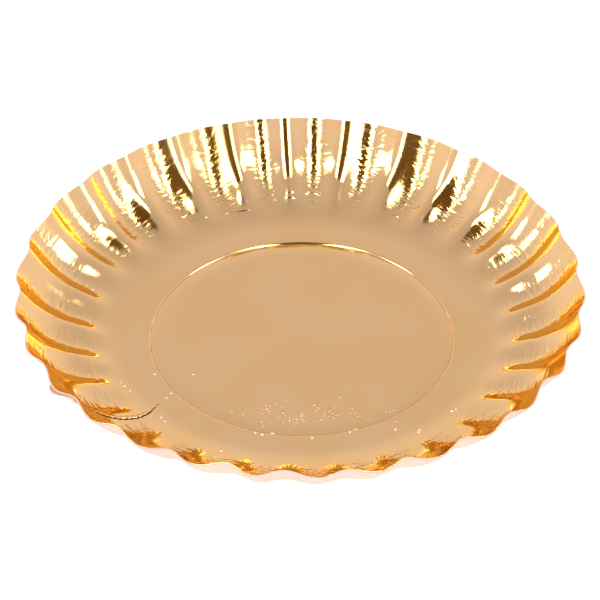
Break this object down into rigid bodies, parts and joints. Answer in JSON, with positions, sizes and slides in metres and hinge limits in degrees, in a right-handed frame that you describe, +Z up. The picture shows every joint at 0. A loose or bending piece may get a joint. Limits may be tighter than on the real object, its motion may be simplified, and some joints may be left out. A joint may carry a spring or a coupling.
{
  "type": "fluted plate",
  "caption": "Round shallow plate pressed from gold-faced paperboard, with a fluted rim and an embossed ring round its flat base, for serving or offering food.",
  "frame": {"origin": "centre of the flat underside, on the surface that the plate rests on", "axes": "+Z up out of the well, along the plate's axis; +X towards the groove at angle 0; +Y away from the viewer"},
  "size_m": [0.2294, 0.2296, 0.0271],
  "materials": {
    "gold_film": "bright metallised film, mirror-like with fine creases",
    "board": "matt cut edge of pale paperboard",
    "liner": "matt white paper"
  },
  "bodies": {
    "root": {"gold_film": "gold_film", "board_core": "board", "back_liner": "liner"}
  },
  "joints": []
}
